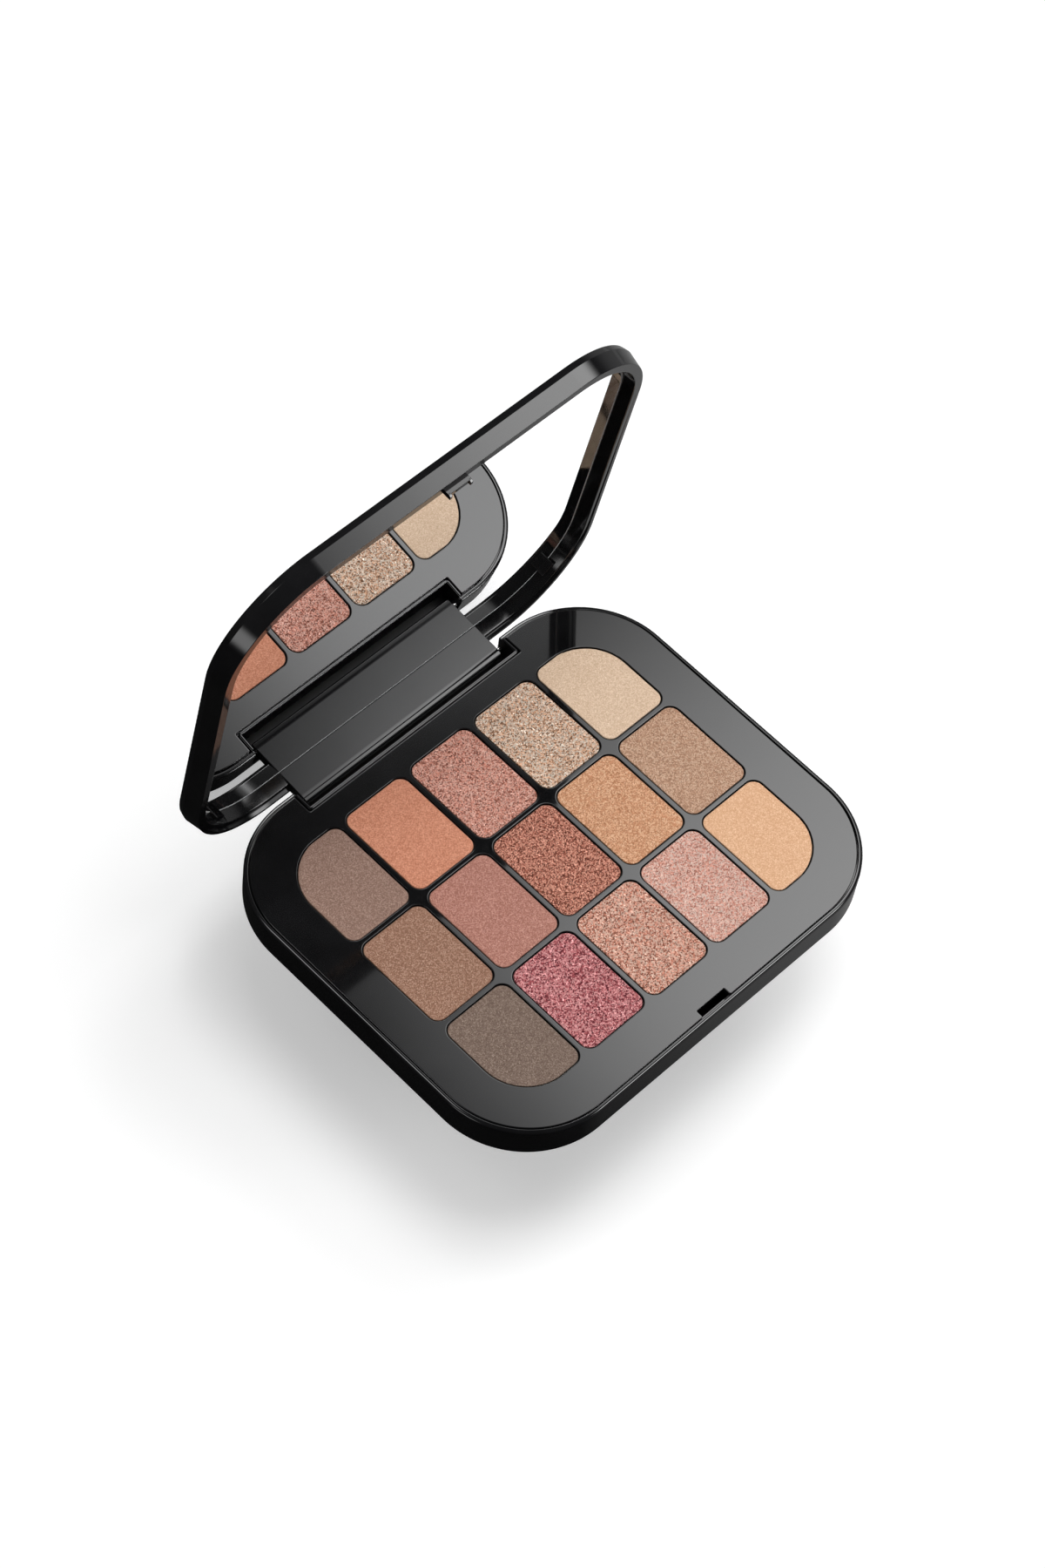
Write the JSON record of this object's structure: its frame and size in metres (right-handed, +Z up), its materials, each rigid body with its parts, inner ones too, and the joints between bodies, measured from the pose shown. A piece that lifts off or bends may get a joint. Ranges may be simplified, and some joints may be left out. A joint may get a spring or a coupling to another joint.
{
  "type": "eyeshadow palette",
  "caption": "Flat hinged black compact with rounded corners, rows of pressed eyeshadow pans in a tray, a mirror over the inside of the lid and a small latch hook.",
  "frame": {"origin": "centre of the base's underside, where it rests on a table", "axes": "+X along the hinge, +Y towards the hinge at the back, +Z up out of the base; the lid stands open in the stored pose"},
  "size_m": [0.123, 0.1123, 0.1081],
  "materials": {
    "case_gloss": "high gloss black",
    "tray_satin": "semi-gloss black",
    "mirror": "silvered glass",
    "adhesive": "matte",
    "pin_steel": "drawn",
    "pan_metal": "pressed tinplate",
    "shade_front_1": "matte pressed powder",
    "shade_front_2": "glitter pressed powder",
    "shade_front_3": "glitter pressed powder",
    "shade_front_4": "satin pressed powder",
    "shade_front_5": "matte pressed powder",
    "shade_middle_1": "satin pressed powder",
    "shade_middle_2": "matte pressed powder",
    "shade_middle_3": "metallic pressed powder",
    "shade_middle_4": "satin pressed powder",
    "shade_middle_5": "satin pressed powder",
    "shade_back_1": "matte pressed powder",
    "shade_back_2": "satin pressed powder",
    "shade_back_3": "glitter pressed powder",
    "shade_back_4": "glitter pressed powder",
    "shade_back_5": "matte pressed powder"
  },
  "bodies": {
    "base": {"base_shell": "case_gloss", "pan_tray": "tray_satin", "pan_front_1": "pan_metal", "pan_front_2": "pan_metal", "pan_front_3": "pan_metal", "pan_front_4": "pan_metal", "pan_front_5": "pan_metal", "pan_middle_1": "pan_metal", "pan_middle_2": "pan_metal", "pan_middle_3": "pan_metal", "pan_middle_4": "pan_metal", "pan_middle_5": "pan_metal", "pan_back_1": "pan_metal", "pan_back_2": "pan_metal", "pan_back_3": "pan_metal", "pan_back_4": "pan_metal", "pan_back_5": "pan_metal", "shade_front_1": "shade_front_1", "shade_front_2": "shade_front_2", "shade_front_3": "shade_front_3", "shade_front_4": "shade_front_4", "shade_front_5": "shade_front_5", "shade_middle_1": "shade_middle_1", "shade_middle_2": "shade_middle_2", "shade_middle_3": "shade_middle_3", "shade_middle_4": "shade_middle_4", "shade_middle_5": "shade_middle_5", "shade_back_1": "shade_back_1", "shade_back_2": "shade_back_2", "shade_back_3": "shade_back_3", "shade_back_4": "shade_back_4", "shade_back_5": "shade_back_5", "hinge_pin_left": "pin_steel", "hinge_pin_right": "pin_steel"},
    "lid": {"lid_shell": "case_gloss", "mirror": "mirror", "mirror_adhesive": "adhesive"}
  },
  "joints": [
    {"name": "lid_hinge", "type": "hinge", "parent": "base", "child": "lid", "pos_m": [0, 0.0503, 0.0052], "axis": [-1, 0, 0], "range_deg": [-83.1, 26.9]}
  ]
}
